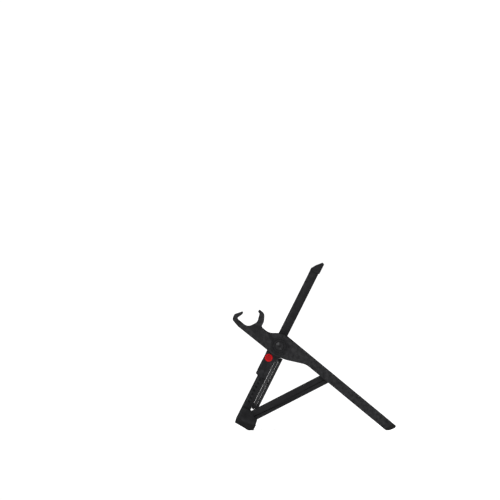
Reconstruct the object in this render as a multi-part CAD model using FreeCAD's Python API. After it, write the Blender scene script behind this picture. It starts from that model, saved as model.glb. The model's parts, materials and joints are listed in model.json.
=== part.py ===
"""A folding lap-top riser: two X-shaped side frames joined by a pair of crossed bars.

Frame: +X towards the back (where the arms reach the table), +Z up, the table is Z = 0.
The right side frame is at -Y, the left one at +Y, and both are the same piece mirrored.
Each side frame is drawn in the leg's own axes: n runs rearward, t runs up the leg, and
o runs outward from the leg's middle plane. All sizes are in millimetres.
"""
import FreeCAD, Part
import math
import os

Vector = FreeCAD.Vector

# ---- driving dimensions -------------------------------------------------------------
LEG_ANGLE = 63.4            # the leg's slope above the table, degrees
LEG_X = -126.53             # where the leg's middle line starts, at t = 0
LEG_Z = 10.05
STANCE = 181.4              # between the middle planes of the two legs, opened
FOLDED_STANCE = 12.0        # the same, folded
COLUMN_DEPTH = 15.5         # the leg's section along n
COLUMN_WIDTH = 9.2          # the leg's section along o
COLUMN_BOTTOM = 13.0
COLUMN_TOP = 284.0
TIP_TOP = 302.0

HUB_N = 3.25                # the arm's pivot on the carriage
HUB_T = 147.3
ARM_SLOPE = 39.55           # the arm's slope below the horizontal, degrees
ARM_LENGTH = 236.5          # from the hub to the rear foot
ARM_THICK = 5.0
ARM_BAND = 18.4             # the hub band's half width, on its lower side
ARM_TOP_EDGE = 19.4         # the arm's upper edge above the hub's centre line
ARM_LOW_EDGE = 4.6          # the lower arm's under edge above that line
JOINT_V = 95.93             # the brace's joint on the arm, along it and across it
JOINT_W = 11.4
BRACE_N = 13.6              # the brace's pivot in the boot
BRACE_T = 19.7
BRACE_HALF = 8.2            # half the brace's width
BRACE_THICK = 4.4

BAR_LOW_T = 38.0            # the crossed bars' lower pivots on the legs
BAR_HIGH_T = 125.6          # their upper pivots on the rear sliders, opened
BAR_WIDTH = 9.0
BAR_THICK = 5.0

LEVELS = 8                  # height settings
LEVEL_PITCH = 6.75
LEVEL_TOP_T = 89.4          # the highest setting's ladder slot

BUTTON_N = -4.1
BUTTON_T = 121.8
BUTTON_R = 6.6
BUTTON_TRAVEL = 1.0
LEVER_PIVOT_T = 105.0

SLIDE_GAP = 0.3             # between pieces that slide past each other
RUN_GAP = 0.05              # radial, between a pin and what turns on it

# ---- the layers, outward from the leg's middle plane ---------------------------------
COLUMN_O = COLUMN_WIDTH / 2
INNER_O = COLUMN_O + 0.4                    # brace and carriage cheek begin here
CHEEK_O = INNER_O + BRACE_THICK             # and end here
ARM_IN_O = CHEEK_O + 0.9
ARM_OUT_O = ARM_IN_O + ARM_THICK
FLANGE_O = ARM_OUT_O + 1.7                  # the hub disc's outer face
BOOT_IN_O = -(FOLDED_STANCE / 2 - 0.4)
BOOT_CHEEK_O = (CHEEK_O + SLIDE_GAP, CHEEK_O + 3.5)
LEG_Y = STANCE / 2
FRONT_N = -COLUMN_DEPTH / 2
REAR_N = COLUMN_DEPTH / 2
BAR_1_N = (REAR_N + 0.2, REAR_N + 0.2 + BAR_THICK)
BAR_2_N = (BAR_1_N[1] + 0.1, BAR_1_N[1] + 0.1 + BAR_THICK)

SIN_LEG = math.sin(math.radians(LEG_ANGLE))
COS_LEG = math.cos(math.radians(LEG_ANGLE))
SIN_ARM = math.sin(math.radians(ARM_SLOPE))
COS_ARM = math.cos(math.radians(ARM_SLOPE))
N_DIR = Vector(SIN_LEG, 0, -COS_LEG)
T_DIR = Vector(COS_LEG, 0, SIN_LEG)

SLOT_NECK = 2.0             # half widths and depths of the leg's two T-slots
SLOT_HEAD = 3.2
SLOT_NECK_DEPTH = 2.25
SLOT_DEPTH = 3.75
FRONT_SLOT_LOW = 34.0
SLIDER_HALF = 10.0
FOLD_TRAVEL = (
    math.sqrt(STANCE ** 2 + (BAR_HIGH_T - BAR_LOW_T) ** 2 - FOLDED_STANCE ** 2)
    - (BAR_HIGH_T - BAR_LOW_T)
)
LEVEL_TRAVEL = (LEVELS - 1) * LEVEL_PITCH
PIN_R = 2.0                 # the bars' pins


# ---- drawing helpers -----------------------------------------------------------------
def point(n, o, t):
    """A point of the left side frame, from the leg's own axes."""
    flat = N_DIR * n + T_DIR * t
    return Vector(LEG_X + flat.x, LEG_Y + o, LEG_Z + flat.z)


def in_leg(n, t):
    return point(n, -LEG_Y, t)


def in_arm(v, w):
    """v runs down the arm from the hub, w across it, upward."""
    hub = in_leg(HUB_N, HUB_T)
    return Vector(
        hub.x + v * COS_ARM + w * SIN_ARM, 0, hub.z - v * SIN_ARM + w * COS_ARM
    )


def rounded(corners, place):
    """A closed wire through corners (a, b, radius), each rounded by its own radius."""
    count = len(corners)
    stations = []
    for i in range(count):
        here = place(corners[i][0], corners[i][1])
        before = place(corners[i - 1][0], corners[i - 1][1])
        after = place(corners[(i + 1) % count][0], corners[(i + 1) % count][1])
        radius = corners[i][2]
        if radius == 0:
            stations.append((here, None, here))
            continue
        back = (before - here).normalize()
        ahead = (after - here).normalize()
        half = back.getAngle(ahead) / 2
        reach = radius / math.tan(half)
        middle = (back + ahead).normalize() * (radius / math.sin(half) - radius)
        stations.append((here + back * reach, here + middle, here + ahead * reach))
    edges = []
    for i in range(count):
        start, middle, end = stations[i]
        if middle is not None:
            edges.append(Part.Arc(start, middle, end).toShape())
        following = stations[(i + 1) % count][0]
        if (following - end).Length > 1e-4:
            edges.append(Part.LineSegment(end, following).toShape())
    return Part.Wire(edges)


def prism(corners, o_from, o_to, place=in_leg):
    face = Part.Face(rounded(corners, place))
    face.translate(Vector(0, LEG_Y + o_from, 0))
    return face.extrude(Vector(0, o_to - o_from, 0))


def block(n_range, o_range, t_range, radius=0):
    (n0, n1), (t0, t1) = n_range, t_range
    corners = [(n0, t0, radius), (n1, t0, radius), (n1, t1, radius), (n0, t1, radius)]
    return prism(corners, o_range[0], o_range[1])


def disc(n, t, radius, o_from, o_to, place=in_leg):
    """A cylinder across the side frame, along Y."""
    base = place(n, t) + Vector(0, LEG_Y + o_from, 0)
    return Part.makeCylinder(radius, o_to - o_from, base, Vector(0, 1, 0))


def rod(o, t, radius, n_from, n_to):
    """A cylinder along n."""
    return Part.makeCylinder(radius, n_to - n_from, point(n_from, o, t), N_DIR)


def fused(shapes):
    whole = shapes[0]
    for shape in shapes[1:]:
        whole = whole.fuse(shape)
    return whole.removeSplitter()


def above_table(shape):
    reach = 1000.0
    table = Part.makeBox(reach, reach, reach, Vector(-reach / 2, -reach / 2, -reach))
    return shape.cut(table)


def hex_socket(n, t, across, o_from, o_to, place=in_leg):
    size = across / math.sqrt(3)
    turns = [math.radians(60 * i) for i in range(6)]
    corners = [(n + size * math.cos(a), t + size * math.sin(a), 0) for a in turns]
    return prism(corners, o_from, o_to, place)


# ---- the leg -------------------------------------------------------------------------
def slot_cut(side, t_range):
    """The space of a T-slot in the leg's front (side -1) or rear (side 1) face."""
    face = REAR_N * side
    neck = sorted([face - SLOT_NECK_DEPTH * side, face + side])
    head = sorted([face - SLOT_NECK_DEPTH * side, face - SLOT_DEPTH * side])
    return block(neck, (-SLOT_NECK, SLOT_NECK), t_range).fuse(
        block(head, (-SLOT_HEAD, SLOT_HEAD), t_range)
    )


def slot_tongue(side, t_range, proud):
    """What slides in that slot. It stands out of the leg's face by proud."""
    gap = SLIDE_GAP
    face = REAR_N * side
    neck = sorted([face - (SLOT_NECK_DEPTH + gap) * side, face + proud * side])
    head = sorted([face - (SLOT_NECK_DEPTH + gap) * side, face - (SLOT_DEPTH - gap) * side])
    half_neck = SLOT_NECK - gap
    half_head = SLOT_HEAD - gap
    return block(neck, (-half_neck, half_neck), t_range).fuse(
        block(head, (-half_head, half_head), t_range)
    )


def column_stock():
    """The leg's full section, with its foot set back where the boot wraps round it."""
    full = block(
        (FRONT_N, REAR_N), (-COLUMN_O, COLUMN_O), (BOOT_TOP, COLUMN_TOP)
    )
    foot = block(
        (FRONT_N + BOOT_WALL, REAR_N), (-COLUMN_O, COLUMN_O), (COLUMN_BOTTOM, BOOT_TOP)
    )
    return fused([full, foot])


def leg_column():
    body = column_stock()
    body = body.cut(slot_cut(-1, (FRONT_SLOT_LOW, COLUMN_TOP + 1)))
    low = BAR_HIGH_T - LEVEL_TRAVEL - SLIDER_HALF - 3
    high = BAR_HIGH_T + FOLD_TRAVEL + SLIDER_HALF + 3
    body = body.cut(slot_cut(1, (low, high)))
    for level in range(LEVELS):
        t = LEVEL_TOP_T - level * LEVEL_PITCH
        notch = block((-2.8, 0.8), (COLUMN_O - 2.2, COLUMN_O + 1), (t - 1.6, t + 1.6))
        body = body.cut(notch)
    body = body.cut(rod(0, BAR_LOW_T, 1.5, REAR_N - 5, REAR_N + 1))
    for t in BOOT_SCREW_T:
        body = body.cut(rod(0, t, 1.5, FRONT_N, FRONT_N + 8))
    return body


BOOT_SCREW_T = (17.5, 25.0)
BOOT_WALL = 1.5
BOOT_TOP = 28.8
BOOT_REAR = 26.5
PAD_FRONT_T = 7.5
PAD_REAR_T = 10.4
WEB_N = 3.5                 # the boot's web ends here, ahead of the brace
BRACE_PIN_R = 4.0
BRACE_PIN_O = BOOT_CHEEK_O[1] - 1.0     # the bottom of the pin's blind hole in the boot


def pad_line(n):
    """The seam between boot and pad."""
    rise = (PAD_REAR_T - PAD_FRONT_T) / (BOOT_REAR - FRONT_N)
    return PAD_FRONT_T + rise * (n - FRONT_N)


def leg_boot():
    front = FRONT_N
    side = [
        (front, PAD_FRONT_T, 0),
        (BOOT_REAR, PAD_REAR_T, 0),
        (BOOT_REAR - 1, 18.8, 3),
        (8.0, BOOT_TOP, 4),
        (front, BOOT_TOP, 2),
    ]
    inner = prism(side, BOOT_IN_O, COLUMN_O)
    cheek = prism(side, BOOT_CHEEK_O[0], BOOT_CHEEK_O[1])
    web = prism(
        [
            (front, PAD_FRONT_T, 0),
            (WEB_N, pad_line(WEB_N), 0),
            (WEB_N, BOOT_TOP, 0),
            (front, BOOT_TOP, 2),
        ],
        COLUMN_O,
        BOOT_CHEEK_O[0],
    )
    floor = prism(
        [
            (front, PAD_FRONT_T, 0),
            (BOOT_REAR, PAD_REAR_T, 0),
            (BOOT_REAR, PAD_REAR_T + 0.5, 0),
            (front, PAD_REAR_T + 0.5, 0),
        ],
        COLUMN_O,
        BOOT_CHEEK_O[0],
    )
    body = fused([inner, cheek, web, floor])
    body = body.cut(column_stock())
    body = body.cut(disc(BRACE_N, BRACE_T, BRACE_PIN_R, BOOT_IN_O - 1, BRACE_PIN_O))
    for t in BOOT_SCREW_T:
        body = body.cut(rod(0, t, 1.5, front - 1, front + BOOT_WALL + 1))
        body = body.cut(rod(0, t, 2.6, front - 1, front + 0.9))
    return above_table(body)


def boot_screws():
    screws = []
    front = FRONT_N
    for t in BOOT_SCREW_T:
        screw = rod(0, t, 1.5, front + 0.9, FRONT_N + 7).fuse(
            rod(0, t, 2.5, front + 0.1, front + 0.9)
        )
        screws.append(screw.removeSplitter().cut(rod(0, t, 1.1, front, front + 0.7)))
    return Part.makeCompound(screws)


def front_foot_pad():
    front = FRONT_N
    side = [
        (front + 1.6, 0, 1.0),
        (27.0, -2.0, 3),
        (BOOT_REAR + 1.0, pad_line(BOOT_REAR + 1.0), 0),
        (front, PAD_FRONT_T, 0),
    ]
    return above_table(prism(side, BOOT_IN_O, BOOT_CHEEK_O[1]))


def tip_cap():
    side = [
        (FRONT_N - 0.2, COLUMN_TOP, 0),
        (REAR_N + 1.3, COLUMN_TOP, 0),
        (REAR_N + 1.3, TIP_TOP - 1.4, 1.2),
        (5.2, TIP_TOP, 1.0),
        (-3.0, COLUMN_TOP + 9.0, 8),
        (FRONT_N - 0.2, COLUMN_TOP + 1.2, 0.8),
    ]
    return prism(side, BOOT_IN_O, COLUMN_O + 3.4)


# ---- the crossed bars and their sliders ----------------------------------------------
def bar(n_range, rises_to_left):
    """One bar, flat in the plane of t and Y, with a round end at each pivot."""
    sign = 1 if rises_to_left else -1
    low = point(n_range[0], -LEG_Y - sign * LEG_Y, BAR_LOW_T)
    high = point(n_range[0], -LEG_Y + sign * LEG_Y, BAR_HIGH_T)
    along = (high - low).normalize()
    across = along.cross(N_DIR).normalize() * (BAR_WIDTH / 2)
    edges = [
        Part.LineSegment(low + across, high + across).toShape(),
        Part.Arc(high + across, high + along * (BAR_WIDTH / 2), high - across).toShape(),
        Part.LineSegment(high - across, low - across).toShape(),
        Part.Arc(low - across, low - along * (BAR_WIDTH / 2), low + across).toShape(),
    ]
    body = Part.Face(Part.Wire(edges)).extrude(N_DIR * BAR_THICK)
    for end in (low, high):
        body = body.cut(Part.makeCylinder(PIN_R + RUN_GAP, BAR_THICK, end, N_DIR))
        recess = end + N_DIR * (BAR_THICK - 1.8)
        body = body.cut(Part.makeCylinder(3.5, 1.8, recess, N_DIR))
    return body


RIVET_R = 2.0
RIVET_HEAD_R = 3.2
BAR_MID_T = (BAR_LOW_T + BAR_HIGH_T) / 2


def middle_rod(radius, n_from, n_to):
    return rod(-LEG_Y, BAR_MID_T, radius, n_from, n_to)


def cross_bar_1():
    body = bar(BAR_1_N, True).cut(middle_rod(RIVET_R, *BAR_1_N))
    return body.cut(middle_rod(RIVET_HEAD_R, BAR_1_N[0], BAR_1_N[0] + 1.5))


def cross_bar_2():
    body = bar(BAR_2_N, False).cut(middle_rod(RIVET_R + RUN_GAP, *BAR_2_N))
    return body.cut(middle_rod(RIVET_HEAD_R + 0.3, BAR_2_N[1] - 1.8, BAR_2_N[1]))


def centre_rivet():
    return fused(
        [
            middle_rod(RIVET_HEAD_R, BAR_1_N[0], BAR_1_N[0] + 1.5),
            middle_rod(RIVET_R, BAR_1_N[0] + 1.5, BAR_2_N[1] - 1.5),
            middle_rod(RIVET_HEAD_R, BAR_2_N[1] - 1.5, BAR_2_N[1]),
        ]
    )


def bar_pin(t, face_n, root_n, n_range):
    """A shoulder screw: thread, standoff where the bar is the outer one, shank, head."""
    shapes = [
        rod(0, t, 1.5, root_n, face_n),
        rod(0, t, PIN_R, face_n, n_range[1] - 1.5),
        rod(0, t, 3.2, n_range[1] - 1.5, n_range[1] - 0.1),
    ]
    if n_range[0] > face_n + 1:
        shapes.append(rod(0, t, 3.6, face_n, n_range[0] - SLIDE_GAP))
    screw = fused(shapes)
    return screw.cut(rod(0, t, 1.3, n_range[1] - 1.0, n_range[1]))


SLIDER_PROUD = 0.1


def rear_slider():
    t_range = (BAR_HIGH_T - SLIDER_HALF, BAR_HIGH_T + SLIDER_HALF)
    body = slot_tongue(1, t_range, SLIDER_PROUD).removeSplitter()
    return body.cut(rod(0, BAR_HIGH_T, 1.5, REAR_N - SLOT_DEPTH, REAR_N + 1))


# ---- the carriage and its latch ------------------------------------------------------
CARRIAGE_LOW = 89.2
CARRIAGE_HIGH = 125.3
PLATE_N = (FRONT_N - 4.25, FRONT_N - SLIDE_GAP)
SPINDLE_R = 5.0
HUB_BOSS_R = 15.5
LEVER_N = (-7.4, 0.2)
LEVER_T = (88.2, 125.6)
LEVER_O = (INNER_O + 0.9, INNER_O + 2.1)
LEVER_PIN_O = (LEVER_O[0] + LEVER_O[1]) / 2
POCKET_O = CHEEK_O - 0.8


def carriage():
    plate = block(PLATE_N, (BOOT_IN_O + 0.9, CHEEK_O), (CARRIAGE_LOW, CARRIAGE_HIGH), 0.8)
    cheek_side = [
        (PLATE_N[0], CARRIAGE_LOW, 0.8),
        (PLATE_N[0] + 4.9, CARRIAGE_LOW - 1.7, 1.5),
        (7.0, CARRIAGE_LOW - 1.7, 2.0),
        (7.0, 118.0, 10),
        (HUB_N + HUB_BOSS_R, HUB_T - 8, 8),
        (HUB_N + HUB_BOSS_R, HUB_T + HUB_BOSS_R, 15),
        (HUB_N - HUB_BOSS_R, HUB_T + HUB_BOSS_R, 15),
        (HUB_N - HUB_BOSS_R, CARRIAGE_HIGH + 3, 2),
        (PLATE_N[0], CARRIAGE_HIGH, 0.8),
    ]
    cheek = prism(cheek_side, INNER_O, CHEEK_O)
    bridge = block(
        (PLATE_N[0] + 0.8, PLATE_N[1]),
        (INNER_O - 1, INNER_O + 1),
        (CARRIAGE_LOW + 1, CARRIAGE_HIGH - 1),
    )
    tongue = slot_tongue(-1, (CARRIAGE_LOW + 1, CARRIAGE_HIGH - 1), SLIDE_GAP + 0.5)
    spindle = disc(HUB_N, HUB_T, SPINDLE_R, CHEEK_O, FLANGE_O - 2.8)
    boss = disc(-4.0, 95.2, 4.8, CHEEK_O, CHEEK_O + 0.4)
    body = fused([plate, cheek, bridge, tongue, spindle, boss])
    pocket = block(
        (LEVER_N[0] - 0.5, LEVER_N[1] + 0.5),
        (INNER_O - 1, POCKET_O),
        (LEVER_T[0] - 2, LEVER_T[1] + 0.5),
    )
    guard_floor = POCKET_O - 0.8 - BUTTON_TRAVEL - SLIDE_GAP
    guard = disc(BUTTON_N, BUTTON_T, BUTTON_R + 0.9, guard_floor, POCKET_O)
    body = body.cut(pocket).cut(guard)
    body = body.cut(disc(BUTTON_N, BUTTON_T, BUTTON_R + 0.1, INNER_O, CHEEK_O + 1))
    body = body.cut(rod(LEVER_PIN_O, LEVER_PIVOT_T, 1.0, LEVER_N[0] - 2, LEVER_N[1] + 2))
    return body.cut(disc(HUB_N, HUB_T, 2.0, INNER_O + 1, FLANGE_O))


def push_button():
    head = disc(BUTTON_N, BUTTON_T, BUTTON_R, POCKET_O - 0.8, CHEEK_O + 0.6)
    flange = disc(BUTTON_N, BUTTON_T, BUTTON_R + 0.6, POCKET_O - 0.8, POCKET_O - 0.1)
    stem = disc(BUTTON_N, BUTTON_T, 1.6, LEVER_O[1] + 0.2, POCKET_O)
    body = fused([head, flange, stem])
    ring = disc(BUTTON_N, BUTTON_T, BUTTON_R - 1.1, CHEEK_O + 0.2, CHEEK_O + 1).cut(
        disc(BUTTON_N, BUTTON_T, BUTTON_R - 1.9, CHEEK_O, CHEEK_O + 1)
    )
    return body.cut(ring)


def latch_lever():
    strip = block(LEVER_N, LEVER_O, LEVER_T)
    barrel = rod(LEVER_PIN_O, LEVER_PIVOT_T, 1.55, LEVER_N[0], LEVER_N[1])
    tooth = block(
        (-2.2, LEVER_N[1]),
        (COLUMN_O + SLIDE_GAP, LEVER_O[0]),
        (LEVEL_TOP_T - 1.2, LEVEL_TOP_T + 1.2),
    )
    body = fused([strip, barrel, tooth])
    bore = rod(LEVER_PIN_O, LEVER_PIVOT_T, 1.0 + RUN_GAP, LEVER_N[0] - 1, LEVER_N[1] + 1)
    return body.cut(bore)


def latch_pin():
    return rod(LEVER_PIN_O, LEVER_PIVOT_T, 1.0, LEVER_N[0] - 2, LEVER_N[1] + 2)


def latch_spring():
    low = LEVER_O[1]
    n_range = (-6.0, -1.5)
    foot = block(n_range, (low, low + 0.3), (94.0, 102.0))
    rise = block(n_range, (low + 0.3, low + 0.7), (94.0, 94.4))
    return fused([foot, rise])


# ---- the arm and its hub -------------------------------------------------------------
DISC_R = 14.4
DISC_SPIGOT_R = 10.0
POCKET_FLOOR_W = -11.2
HOOK_LEDGE_O = BOOT_IN_O + 1.0
LINER_THICK = 1.4
LINER_V = (-80.4, -70.5)
END_V = ARM_LENGTH - 7.8    # the lower corner of the arm's slanted end
PAD_V = ARM_LENGTH - 14.0   # the rear foot's pad starts here
PAD_SLANT = 7.0             # how far its seam leans


def arm_side():
    return [
        (ARM_LENGTH, ARM_TOP_EDGE, 1.5),
        (END_V, ARM_LOW_EDGE, 1.0),
        (54.0, ARM_LOW_EDGE, 26),
        (22.0, -11.5, 50),
        (2.0, -ARM_BAND + 0.6, 12),
        (-74.0, -ARM_BAND - 0.4, 14),
        (-88.5, -16.2, 5),
        (-91.6, -9.0, 4),
        (-84.0, 3.6, 0.9),
        (-81.2, 2.6, 0.9),
        (-84.6, POCKET_FLOOR_W, 3.2),
        (-61.0, POCKET_FLOOR_W, 11),
        (-53.2, 5.5, 12),
        (-60.0, 20.6, 2.0),
        (-64.6, 21.6, 0.5),
        (-63.8, 24.0, 0.8),
        (-53.0, 24.2, 9),
        (-44.6, 12.0, 12),
        (-43.8, 3.8, 4),
        (-27.0, 3.9, 18),
        (-8.0, ARM_TOP_EDGE, 8),
    ]


def arm():
    plate = prism(arm_side(), ARM_IN_O, ARM_OUT_O, in_arm)
    ledge_side = [
        (-62.0, POCKET_FLOOR_W, 0),
        (-62.0, -ARM_BAND, 0),
        (-74.0, -ARM_BAND - 0.3, 14),
        (-88.5, -16.2, 5),
        (-91.6, -9.0, 4),
        (-84.0, 3.6, 0.9),
        (-81.2, 2.6, 0.9),
        (-84.6, POCKET_FLOOR_W, 3.2),
    ]
    ledge = prism(ledge_side, HOOK_LEDGE_O, ARM_IN_O, in_arm)
    body = fused([plate, ledge])
    body = body.cut(disc(0, 0, DISC_SPIGOT_R, ARM_IN_O - 1, ARM_OUT_O + 1, in_arm))
    body = body.cut(disc(JOINT_V, JOINT_W, 3.0, ARM_IN_O - 1, ARM_OUT_O - 1.2, in_arm))
    return body.cut(hook_liner()).cut(rear_foot_space())


def rear_foot_space():
    """All of the arm's end past its slanting seam with the rear foot pad."""
    beyond = 3.0
    return prism(
        [
            (PAD_V, ARM_LOW_EDGE - beyond, 0),
            (ARM_LENGTH + beyond, ARM_LOW_EDGE - beyond, 0),
            (ARM_LENGTH + beyond, ARM_TOP_EDGE + beyond, 0),
            (PAD_V + PAD_SLANT, ARM_TOP_EDGE + beyond, 0),
        ],
        ARM_IN_O - beyond,
        ARM_OUT_O + beyond,
        in_arm,
    )


def rear_foot_pad():
    side = [
        (ARM_LENGTH, ARM_TOP_EDGE, 1.5),
        (END_V, ARM_LOW_EDGE, 1.0),
        (PAD_V - PAD_SLANT, ARM_LOW_EDGE, 0),
        (PAD_V - PAD_SLANT, ARM_TOP_EDGE, 0),
    ]
    whole = prism(side, ARM_IN_O - 0.4, ARM_OUT_O + 1.0, in_arm)
    return above_table(whole.common(rear_foot_space()))


def hook_liner():
    low, high = POCKET_FLOOR_W - LINER_THICK, POCKET_FLOOR_W
    side = [
        (LINER_V[0], low, 0),
        (LINER_V[1], low, 0),
        (LINER_V[1], high, 0),
        (LINER_V[0], high, 0),
    ]
    return prism(side, HOOK_LEDGE_O, ARM_OUT_O, in_arm)


def hub_washer():
    ring = disc(HUB_N, HUB_T, 12.0, CHEEK_O, CHEEK_O + 0.5)
    return ring.cut(disc(HUB_N, HUB_T, SPINDLE_R, CHEEK_O - 1, CHEEK_O + 1))


def hub_disc():
    inner_end = CHEEK_O + 0.8
    spigot = disc(HUB_N, HUB_T, DISC_SPIGOT_R, inner_end, FLANGE_O)
    flange = disc(HUB_N, HUB_T, DISC_R, ARM_OUT_O, FLANGE_O)
    body = fused([spigot, flange])
    body = body.cut(disc(HUB_N, HUB_T, SPINDLE_R + RUN_GAP, inner_end - 1, FLANGE_O))
    body = body.cut(disc(HUB_N, HUB_T, 7.1, FLANGE_O - 2.5, FLANGE_O + 1))
    ring = disc(HUB_N, HUB_T, 11.6, FLANGE_O - 0.5, FLANGE_O + 1).cut(
        disc(HUB_N, HUB_T, 10.8, FLANGE_O - 1, FLANGE_O + 1)
    )
    return body.cut(ring)


def hub_screw():
    seat = FLANGE_O - 2.8
    head = disc(HUB_N, HUB_T, 6.7, seat + 0.4, FLANGE_O + 0.2)
    collar = disc(HUB_N, HUB_T, 4.4, seat, seat + 0.4)
    shank = disc(HUB_N, HUB_T, 2.0, INNER_O + 1, seat)
    body = fused([head, collar, shank])
    return body.cut(hex_socket(HUB_N, HUB_T, 4.0, FLANGE_O - 1.6, FLANGE_O + 1))


def arm_rivet():
    """A blind rivet: it doesn't show on the arm's outer face."""
    return disc(JOINT_V, JOINT_W, 3.0, ARM_IN_O - 0.5, ARM_OUT_O - 1.2, in_arm)


# ---- the brace -----------------------------------------------------------------------
def brace():
    low = in_leg(BRACE_N, BRACE_T)
    high = in_arm(JOINT_V, JOINT_W)
    along = (high - low).normalize()
    across = Vector(-along.z, 0, along.x) * BRACE_HALF
    edges = [
        Part.LineSegment(low + across, high + across).toShape(),
        Part.Arc(high + across, high + along * BRACE_HALF, high - across).toShape(),
        Part.LineSegment(high - across, low - across).toShape(),
        Part.Arc(low - across, low - along * BRACE_HALF, low + across).toShape(),
    ]
    face = Part.Face(Part.Wire(edges))
    face.translate(Vector(0, LEG_Y + INNER_O, 0))
    body = face.extrude(Vector(0, BRACE_THICK, 0))
    body = body.cut(disc(BRACE_N, BRACE_T, BRACE_PIN_R + RUN_GAP, INNER_O - 1, CHEEK_O + 1))
    return body.cut(disc(JOINT_V, JOINT_W, 3.2, INNER_O - 1, CHEEK_O + 1, in_arm))


def brace_pin():
    start = BOOT_IN_O + 0.2
    body = disc(BRACE_N, BRACE_T, BRACE_PIN_R, start, BRACE_PIN_O - 0.2)
    return body.cut(hex_socket(BRACE_N, BRACE_T, 3.0, start - 1, start + 2))


# ---- assembly ------------------------------------------------------------------------
SIDE_PIECES = {
    "leg_column": leg_column,
    "leg_boot": leg_boot,
    "boot_screws": boot_screws,
    "front_foot_pad": front_foot_pad,
    "tip_cap": tip_cap,
    "rear_slider": rear_slider,
    "carriage": carriage,
    "push_button": push_button,
    "latch_lever": latch_lever,
    "latch_pin": latch_pin,
    "latch_spring": latch_spring,
    "hub_washer": hub_washer,
    "hub_disc": hub_disc,
    "hub_screw": hub_screw,
    "arm": arm,
    "hook_liner": hook_liner,
    "rear_foot_pad": rear_foot_pad,
    "arm_rivet": arm_rivet,
    "brace": brace,
    "brace_pin": brace_pin,
}


def mirrored(shape):
    return shape.mirror(Vector(0, 0, 0), Vector(0, 1, 0))


def main():
    nodes = {}
    for name, make in SIDE_PIECES.items():
        shape = make()
        nodes[name + "_l"] = shape
        nodes[name + "_r"] = mirrored(shape)
    slider_face = REAR_N + SLIDER_PROUD
    slider_root = REAR_N - SLOT_DEPTH + SLIDE_GAP
    leg_root = REAR_N - 5
    nodes["bar_pin_upper_l"] = bar_pin(BAR_HIGH_T, slider_face, slider_root, BAR_1_N)
    nodes["bar_pin_lower_l"] = bar_pin(BAR_LOW_T, REAR_N, leg_root, BAR_2_N)
    nodes["bar_pin_upper_r"] = mirrored(bar_pin(BAR_HIGH_T, slider_face, slider_root, BAR_2_N))
    nodes["bar_pin_lower_r"] = mirrored(bar_pin(BAR_LOW_T, REAR_N, leg_root, BAR_1_N))
    nodes["cross_bar_1"] = cross_bar_1()
    nodes["cross_bar_2"] = cross_bar_2()
    nodes["centre_rivet"] = centre_rivet()
    os.makedirs("parts", exist_ok=True)
    for name, shape in nodes.items():
        shape.exportStep(os.path.join("parts", name + ".step"))
    return nodes


main()
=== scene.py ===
"""The looks of the folding laptop riser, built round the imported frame. Metres, +Z up."""
import json
import math

import bmesh
import bpy
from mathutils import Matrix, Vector

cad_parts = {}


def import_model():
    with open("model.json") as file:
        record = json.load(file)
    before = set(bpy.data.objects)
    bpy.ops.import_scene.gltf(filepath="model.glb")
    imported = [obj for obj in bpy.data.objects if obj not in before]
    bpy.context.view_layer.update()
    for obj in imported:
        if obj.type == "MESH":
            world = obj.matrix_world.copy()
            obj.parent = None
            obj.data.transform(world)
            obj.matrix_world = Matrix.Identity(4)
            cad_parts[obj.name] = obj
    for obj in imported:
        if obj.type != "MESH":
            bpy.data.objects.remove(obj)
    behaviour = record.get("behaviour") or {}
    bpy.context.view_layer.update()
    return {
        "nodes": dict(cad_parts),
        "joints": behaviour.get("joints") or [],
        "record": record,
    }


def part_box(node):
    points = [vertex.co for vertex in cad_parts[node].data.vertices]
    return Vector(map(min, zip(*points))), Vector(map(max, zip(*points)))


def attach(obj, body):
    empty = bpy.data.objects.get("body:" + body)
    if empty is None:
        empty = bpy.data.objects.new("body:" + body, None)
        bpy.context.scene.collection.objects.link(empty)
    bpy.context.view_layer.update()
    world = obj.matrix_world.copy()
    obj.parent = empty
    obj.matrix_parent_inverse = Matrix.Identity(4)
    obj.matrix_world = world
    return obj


MM = 0.001
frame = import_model()

# ---- places, all taken from the frame -------------------------------------------------
JOINTS = {joint["name"]: joint for joint in frame["joints"]}
SLOTS = {part["node"]: part["material_slot"] for part in frame["record"]["subparts"]}
REARWARD = Vector(JOINTS["fold"]["axis"]).normalized()
UP_LEG = Vector((-REARWARD.z, 0, REARWARD.x))
SIDES = {"r": -1.0, "l": 1.0}


def box_centre(node):
    low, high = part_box(node)
    return (Vector(low) + Vector(high)) / 2


def outer_face(node, side):
    """The Y of a node's outward face."""
    low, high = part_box(node)
    return low[1] if side < 0 else high[1]


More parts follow.
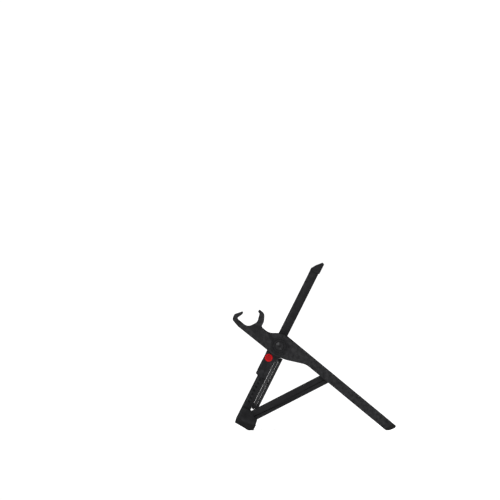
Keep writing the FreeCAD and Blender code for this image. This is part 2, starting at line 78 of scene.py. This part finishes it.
# ---- materials -------------------------------------------------------------------------
class Nodes:
    """A short way to write a node tree."""

    def __init__(self, name):
        self.material = bpy.data.materials.new(name)
        self.material.use_nodes = True
        self.tree = self.material.node_tree
        self.shader = self.tree.nodes["Principled BSDF"]
        self.place = self.new("ShaderNodeTexCoord").outputs["Object"]

    def new(self, kind, **values):
        node = self.tree.nodes.new(kind)
        for name, value in values.items():
            if hasattr(node, name):
                setattr(node, name, value)
            else:
                node.inputs[name.replace("_", " ")].default_value = value
        return node

    def link(self, source, target):
        self.tree.links.new(source, target)

    def noise(self, scale, detail=4.0, stretch=None):
        node = self.new("ShaderNodeTexNoise", Scale=scale, Detail=detail)
        place = self.place
        if stretch:
            mapping = self.new("ShaderNodeMapping", Scale=stretch)
            self.link(place, mapping.inputs["Vector"])
            place = mapping.outputs["Vector"]
        self.link(place, node.inputs["Vector"])
        return node.outputs["Fac"]

    def cells(self, scale):
        node = self.new("ShaderNodeTexVoronoi", Scale=scale)
        self.link(self.place, node.inputs["Vector"])
        return node.outputs["Distance"]

    def spread(self, source, low, high, from_low=0.35, from_high=0.65):
        node = self.new("ShaderNodeMapRange")
        for name, value in (
            ("From Min", from_low),
            ("From Max", from_high),
            ("To Min", low),
            ("To Max", high),
        ):
            node.inputs[name].default_value = value
        self.link(source, node.inputs["Value"])
        return node.outputs["Result"]

    def blend(self, factor, first, second):
        node = self.new("ShaderNodeMix", data_type="RGBA")
        self.link(factor, node.inputs[0])
        for socket, colour in ((node.inputs[6], first), (node.inputs[7], second)):
            if isinstance(colour, tuple):
                socket.default_value = (*colour, 1.0)
            else:
                self.link(colour, socket)
        return node.outputs[2]

    def bump(self, height, strength, distance, normal=None):
        node = self.new("ShaderNodeBump", Strength=strength, Distance=distance)
        self.link(height, node.inputs["Height"])
        if normal:
            self.link(normal, node.inputs["Normal"])
        return node.outputs["Normal"]

    def edges(self, low, high):
        """1 on convex edges, where handling polishes a moulding; the plastics also use it to paint a
        light edge highlight.
        """
        geometry = self.new("ShaderNodeNewGeometry")
        return self.spread(geometry.outputs["Pointiness"], 0.0, 1.0, low, high)

    def finish(self, colour, roughness, normal, **shader):
        self.link(colour, self.shader.inputs["Base Color"])
        self.link(roughness, self.shader.inputs["Roughness"])
        self.link(normal, self.shader.inputs["Normal"])
        for name, value in shader.items():
            self.shader.inputs[name.replace("_", " ")].default_value = value
        return self.material


def moulded_plastic(name, dark, light, worn_and_highlit_colour, rough):
    """Glass-filled nylon: a spark-eroded grain, faint flow marks, and convex edges lightened both for
    rubbed wear and as a painted highlight.
    """
    n = Nodes(name)
    flow = n.noise(38.0, 3.0, stretch=(1.0, 1.0, 0.35))
    body = n.blend(n.spread(flow, 0.0, 1.0), dark, light)
    # Convex edges lightened in patches: partly rubbed wear, partly a painted edge highlight.
    rubbed_and_highlit_edges = n.edges(0.52, 0.60)
    patchy = n.spread(n.noise(160.0), 0.0, 0.55)
    wear_and_highlight = n.new("ShaderNodeMath", operation="MULTIPLY")
    n.link(rubbed_and_highlit_edges, wear_and_highlight.inputs[0])
    n.link(patchy, wear_and_highlight.inputs[1])
    colour = n.blend(wear_and_highlight.outputs[0], body, worn_and_highlit_colour)
    grain = n.noise(2600.0, 6.0)
    pits = n.cells(1500.0)
    normal = n.bump(grain, 0.16, 0.00008)
    normal = n.bump(pits, 0.06, 0.00006, normal)
    roughness = n.spread(n.noise(90.0), rough - 0.06, rough + 0.08)
    return n.finish(colour, roughness, normal, Specular_IOR_Level=0.08)


def soft_rubber():
    n = Nodes("foot_rubber")
    dust = n.spread(n.noise(120.0, 6.0), 0.0, 0.6, 0.45, 0.75)
    colour = n.blend(dust, (0.0075, 0.0075, 0.0080), (0.0170, 0.0165, 0.0160))
    normal = n.bump(n.cells(900.0), 0.3, 0.0002)
    normal = n.bump(n.noise(3000.0), 0.3, 0.0001, normal)
    roughness = n.spread(n.noise(200.0), 0.78, 0.95)
    return n.finish(colour, roughness, normal, Specular_IOR_Level=0.15)


def red_plastic(name, deep, bright, rough, coat):
    n = Nodes(name)
    colour = n.blend(n.spread(n.noise(60.0), 0.0, 1.0), deep, bright)
    normal = n.bump(n.noise(500.0, 3.0), 0.03, 0.0001)
    roughness = n.spread(n.noise(400.0), rough - 0.05, rough + 0.06)
    return n.finish(
        colour, roughness, normal, Coat_Weight=coat, Coat_Roughness=0.2, Specular_IOR_Level=0.15
    )


def blackened_steel():
    n = Nodes("dark_steel")
    streaks = n.noise(900.0, 3.0, stretch=(1.0, 0.08, 1.0))
    body = n.blend(n.spread(streaks, 0.0, 1.0), (0.008, 0.008, 0.009), (0.014, 0.014, 0.015))
    colour = n.blend(n.edges(0.53, 0.62), body, (0.05, 0.05, 0.052))
    normal = n.bump(streaks, 0.15, 0.00006)
    roughness = n.spread(n.noise(300.0), 0.34, 0.48)
    return n.finish(colour, roughness, normal, Metallic=0.15, Specular_IOR_Level=0.2)


def spring_steel():
    n = Nodes("spring_steel")
    streaks = n.noise(700.0, 4.0, stretch=(0.1, 1.0, 1.0))
    colour = n.blend(n.spread(streaks, 0.0, 1.0), (0.24, 0.24, 0.25), (0.42, 0.42, 0.43))
    normal = n.bump(streaks, 0.2, 0.00005)
    roughness = n.spread(streaks, 0.25, 0.42)
    return n.finish(colour, roughness, normal, Metallic=1.0)


def black_nylon():
    n = Nodes("nylon")
    colour = n.blend(n.spread(n.noise(80.0), 0.0, 1.0), (0.024, 0.024, 0.026), (0.036, 0.036, 0.038))
    normal = n.bump(n.noise(1500.0), 0.15, 0.0001)
    roughness = n.spread(n.noise(150.0), 0.45, 0.6)
    return n.finish(colour, roughness, normal, Specular_IOR_Level=0.35)


MATERIALS = {
    "leg_plastic": moulded_plastic(
        "leg_plastic", (0.0085, 0.0085, 0.0095), (0.0125, 0.0125, 0.0135), (0.035, 0.035, 0.037), 0.58
    ),
    "frame_plastic": moulded_plastic(
        "frame_plastic", (0.0095, 0.0095, 0.0105), (0.0140, 0.0140, 0.0150), (0.038, 0.038, 0.040), 0.60
    ),
    "housing_plastic": moulded_plastic(
        "housing_plastic", (0.0080, 0.0080, 0.0088), (0.0115, 0.0115, 0.0125), (0.032, 0.032, 0.034), 0.52
    ),
    "foot_rubber": soft_rubber(),
    "red_plastic": red_plastic("red_plastic", (0.30, 0.001, 0.003), (0.34, 0.001, 0.004), 0.60, 0.0),
    "dark_steel": blackened_steel(),
    "spring_steel": spring_steel(),
    "nylon": black_nylon(),
}
# A brighter copy of the red plastic for the button's bevel ring: a painted highlight.
RED_PAINTED_HIGHLIGHT = red_plastic("red_ring_painted_highlight", (0.70, 0.003, 0.010), (0.78, 0.005, 0.014), 0.40, 0.1)


# ---- the CAD pieces: rounded edges and materials ----------------------------------------
SOFT_EDGE = {               # millimetres
    "arm": 0.9, "brace": 0.8, "leg_column": 0.7, "leg_boot": 0.8, "front_foot_pad": 1.1,
    "rear_foot_pad": 0.8, "tip_cap": 0.9, "carriage": 0.45, "cross_bar_1": 0.8,
    "cross_bar_2": 0.8, "hub_disc": 0.35, "push_button": 0.3, "hook_liner": 0.3,
}
SMALL_EDGE = 0.18           # where no width is given above
SHARPER_THAN = 35           # degrees: only these edges are rounded


def round_edges(piece, width):
    weld = piece.modifiers.new("weld", "WELD")
    weld.merge_threshold = 0.003 * MM
    bevel = piece.modifiers.new("rounding", "BEVEL")
    bevel.width = width * MM
    bevel.segments = 3
    bevel.limit_method = "ANGLE"
    bevel.angle_limit = math.radians(SHARPER_THAN)
    bevel.miter_outer = "MITER_ARC"
    bevel.use_clamp_overlap = True
    normals = piece.modifiers.new("shading", "WEIGHTED_NORMAL")
    normals.keep_sharp = False
    normals.weight = 80


def dress_nodes():
    for name, piece in frame["nodes"].items():
        for slot in piece.material_slots:
            slot.material = MATERIALS[SLOTS[name]]
        kind = name[:-2] if name[-2:] in ("_r", "_l") else name
        round_edges(piece, SOFT_EDGE.get(kind, SMALL_EDGE))


# ---- added detail -----------------------------------------------------------------------
def new_piece(name, mesh, body, material):
    for face in mesh.faces:
        face.smooth = True
    data = bpy.data.meshes.new(name)
    mesh.to_mesh(data)
    mesh.free()
    data.materials.append(material)
    piece = bpy.data.objects.new(name, data)
    bpy.context.scene.collection.objects.link(piece)
    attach(piece, body)
    return piece


def lathe(profile, centre, axis, turns=72):
    """A closed profile of (radius, height) in mm, turned about an axis."""
    mesh = bmesh.new()
    axis = axis.normalized()
    first = UP_LEG.copy()
    second = axis.cross(first)
    rings = []
    for i in range(turns):
        angle = 2 * math.pi * i / turns
        out = first * math.cos(angle) + second * math.sin(angle)
        rings.append([mesh.verts.new(centre + (out * r + axis * h) * MM) for r, h in profile])
    for i in range(turns):
        here, following = rings[i], rings[(i + 1) % turns]
        for j in range(len(profile)):
            k = (j + 1) % len(profile)
            mesh.faces.new((here[j], following[j], following[k], here[k]))
    bmesh.ops.recalc_face_normals(mesh, faces=mesh.faces)
    return mesh


def bead(radius, width, foot, top, steps=6):
    """The section of a rounded ring standing on a face, from foot to top."""
    points = [(radius - width / 2, foot)]
    for i in range(steps + 1):
        angle = math.pi * (1 - i / steps)
        points.append((radius + width / 2 * math.cos(angle), foot + (top - foot) * math.sin(angle)))
    points.append((radius + width / 2, foot))
    return points[1:]


def rounded_bar(length_dir, wide_dir, high_dir, centre, size):
    """A small rib with a rounded section and rounded ends. size: length, width, height."""
    mesh = bmesh.new()
    length, width, height = (value * MM for value in size)
    rows = []
    steps = 10
    sides = 8
    end_power = 6
    for i in range(steps + 1):
        along = -1 + 2 * i / steps
        narrow = max(0.05, 1 - abs(along) ** end_power) ** 0.5
        ring = []
        for j in range(sides + 1):
            angle = math.pi * j / sides
            ring.append(
                mesh.verts.new(
                    centre
                    + length_dir * (along * length / 2)
                    + wide_dir * (math.cos(angle) * width / 2 * narrow)
                    + high_dir * (math.sin(angle) * height * narrow)
                )
            )
        rows.append(ring)
    for i in range(steps):
        for j in range(sides):
            mesh.faces.new((rows[i][j], rows[i][j + 1], rows[i + 1][j + 1], rows[i + 1][j]))
        mesh.faces.new((rows[i][sides], rows[i][0], rows[i + 1][0], rows[i + 1][sides]))
    mesh.faces.new(rows[0])
    mesh.faces.new(list(reversed(rows[-1])))
    bmesh.ops.recalc_face_normals(mesh, faces=mesh.faces)
    return mesh


def joined(meshes):
    whole = bmesh.new()
    for mesh in meshes:
        data = bpy.data.meshes.new("scrap")
        mesh.to_mesh(data)
        mesh.free()
        whole.from_mesh(data)
        bpy.data.meshes.remove(data)
    return whole


def button_detail(tag, side):
    out = Vector((0, side, 0))
    centre = box_centre("push_button_" + tag)
    centre.y = outer_face("push_button_" + tag, side)
    ring = lathe(bead(5.1, 0.9, -0.45, 0.18), centre, out)
    # The bevel ring takes the brighter red, a painted highlight.
    new_piece("button_ring_" + tag, ring, "button_" + tag, RED_PAINTED_HIGHLIGHT)
    dish = [(0.3, -0.1), (0.3, 0.04), (1.6, 0.06), (2.9, 0.12), (3.9, 0.10), (4.3, 0.0), (4.3, -0.1)]
    new_piece(
        "button_dish_" + tag, lathe(dish, centre, out), "button_" + tag,
        MATERIALS["red_plastic"],
    )


def hub_detail(tag, side):
    out = Vector((0, side, 0))
    centre = Vector(JOINTS["arm_turn_" + tag]["pos_m"])
    centre.y = outer_face("hub_disc_" + tag, side)
    lip = lathe(bead(13.3, 1.3, -0.1, 0.17), centre, out)
    inner = lathe(bead(8.3, 0.9, -0.1, 0.12), centre, out)
    new_piece(
        "hub_rings_" + tag, joined([lip, inner]), "arm_" + tag,
        MATERIALS["housing_plastic"],
    )


RIB_COUNT = 6
FIRST_RIB = 10.0            # below the button, along the leg
RIB_PITCH = 3.2
RIB_AHEAD = 7.86            # from the button's axis to the front plate's face
RIB_OUT = 2.2               # from the leg's middle plane to the ribs' middle
RIB_SIZE = (9.5, 1.2, 0.5)  # length, width, height


def carriage_detail(tag, side):
    """Finger ribs on the front plate of the carriage."""
    button = box_centre("push_button_" + tag)
    leg_y = JOINTS["brace_turn_" + tag]["pos_m"][1]
    ribs = []
    for i in range(RIB_COUNT):
        down = FIRST_RIB + RIB_PITCH * i
        centre = button - REARWARD * (RIB_AHEAD * MM) - UP_LEG * (down * MM)
        centre.y = leg_y + side * RIB_OUT * MM
        ribs.append(rounded_bar(Vector((0, 1, 0)), UP_LEG, -REARWARD, centre, RIB_SIZE))
    new_piece(
        "carriage_ribs_" + tag, joined(ribs), "carriage_" + tag,
        MATERIALS["housing_plastic"],
    )


def dress_scene():
    for tag, side in SIDES.items():
        button_detail(tag, side)
        hub_detail(tag, side)
        carriage_detail(tag, side)


# ---- floor, light and camera -------------------------------------------------------------
def plain_material(name, colour, rough):
    material = bpy.data.materials.new(name)
    material.use_nodes = True
    shader = material.node_tree.nodes["Principled BSDF"]
    shader.inputs["Base Color"].default_value = (*colour, 1.0)
    shader.inputs["Roughness"].default_value = rough
    shader.inputs["Specular IOR Level"].default_value = 0.0
    return material


def floor():
    size = 30.0
    drop = 0.0002           # below the table line, clear of the feet's own faces
    mesh = bmesh.new()
    bmesh.ops.create_grid(mesh, x_segments=2, y_segments=2, size=size)
    data = bpy.data.meshes.new("floor")
    mesh.to_mesh(data)
    mesh.free()
    data.materials.append(plain_material("pale_floor", (0.86, 0.86, 0.86), 0.9))
    ground = bpy.data.objects.new("floor", data)
    ground.location = (0, 0, -drop)
    bpy.context.scene.collection.objects.link(ground)


def area_light(name, place, target, size, power):
    data = bpy.data.lights.new(name, "AREA")
    data.shape = "DISK"
    data.size = size
    data.energy = power
    light = bpy.data.objects.new(name, data)
    light.location = place
    aim = Vector(target) - Vector(place)
    light.rotation_mode = "QUATERNION"
    light.rotation_quaternion = aim.to_track_quat("-Z", "Y")
    bpy.context.scene.collection.objects.link(light)


def overhead_light(strength):
    """A broad sun from above, which keeps the floor white to its edges."""
    data = bpy.data.lights.new("overhead", "SUN")
    data.energy = strength
    data.angle = math.radians(60)
    light = bpy.data.objects.new("overhead", data)
    light.location = (0, 0, 3)
    bpy.context.scene.collection.objects.link(light)


def world():
    """White to the camera, a softer white to everything else."""
    surround = bpy.data.worlds.new("studio")
    surround.use_nodes = True
    tree = surround.node_tree
    background = tree.nodes["Background"]
    background.inputs["Color"].default_value = (1, 1, 1, 1)
    path = tree.nodes.new("ShaderNodeLightPath")
    strength = tree.nodes.new("ShaderNodeMapRange")
    strength.inputs["To Min"].default_value = 0.62
    strength.inputs["To Max"].default_value = 1.05
    tree.links.new(path.outputs["Is Camera Ray"], strength.inputs["Value"])
    tree.links.new(strength.outputs["Result"], background.inputs["Strength"])
    bpy.context.scene.world = surround


def camera():
    """Side-on with no convergence, and looking along the planes between leg and bars."""
    frame_width = 0.8333
    centre = Vector((-0.1072, 0, 0.2995))
    lift = math.radians(0.5)
    turn = math.radians(0.25)
    distance = 3.0
    data = bpy.data.cameras.new("camera")
    data.type = "ORTHO"
    data.ortho_scale = frame_width
    data.clip_end = 200.0
    eye = bpy.data.objects.new("camera", data)
    back = Vector((math.sin(turn), -math.cos(lift), math.sin(lift))).normalized()
    eye.location = centre + back * distance
    eye.rotation_mode = "QUATERNION"
    eye.rotation_quaternion = (-back).to_track_quat("-Z", "Y")
    bpy.context.scene.collection.objects.link(eye)
    bpy.context.scene.camera = eye


dress_nodes()
dress_scene()
floor()
world()
overhead_light(2.3)
area_light("key", (-0.7, -1.3, 1.5), (0, 0, 0.1), 0.9, 7.0)
area_light("fill", (0.9, -1.4, 0.7), (0, 0, 0.12), 1.4, 3.0)
area_light("rim", (0.6, 1.2, 1.3), (0, 0, 0.15), 0.9, 7.0)
camera()
bpy.context.scene.view_settings.view_transform = "Standard"
